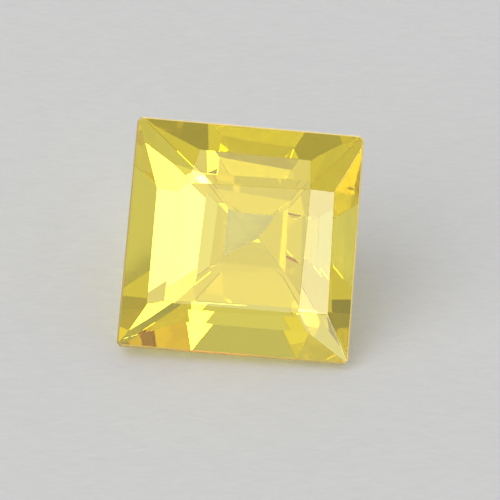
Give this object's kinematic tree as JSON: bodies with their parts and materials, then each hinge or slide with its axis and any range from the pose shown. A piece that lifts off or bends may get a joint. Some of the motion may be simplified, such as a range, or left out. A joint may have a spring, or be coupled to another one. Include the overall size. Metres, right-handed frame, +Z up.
{
  "type": "square step-cut yellow sapphire",
  "caption": "Loose square step-cut gemstone of clear yellow sapphire, with a flat table and a deep stepped pavilion, lying on one lower facet.",
  "frame": {"origin": "on the resting facet's plane, below the centre of the stone's bounding box", "axes": "+Z up from the surface that the stone lies on, -Y towards the side that the table leans to, +X along the stone's lowest girdle edge"},
  "size_m": [0.005, 0.0042, 0.0039],
  "materials": {
    "sapphire": "polished flat facets, finely ground girdle"
  },
  "bodies": {
    "root": {"sapphire": "sapphire"}
  },
  "joints": []
}
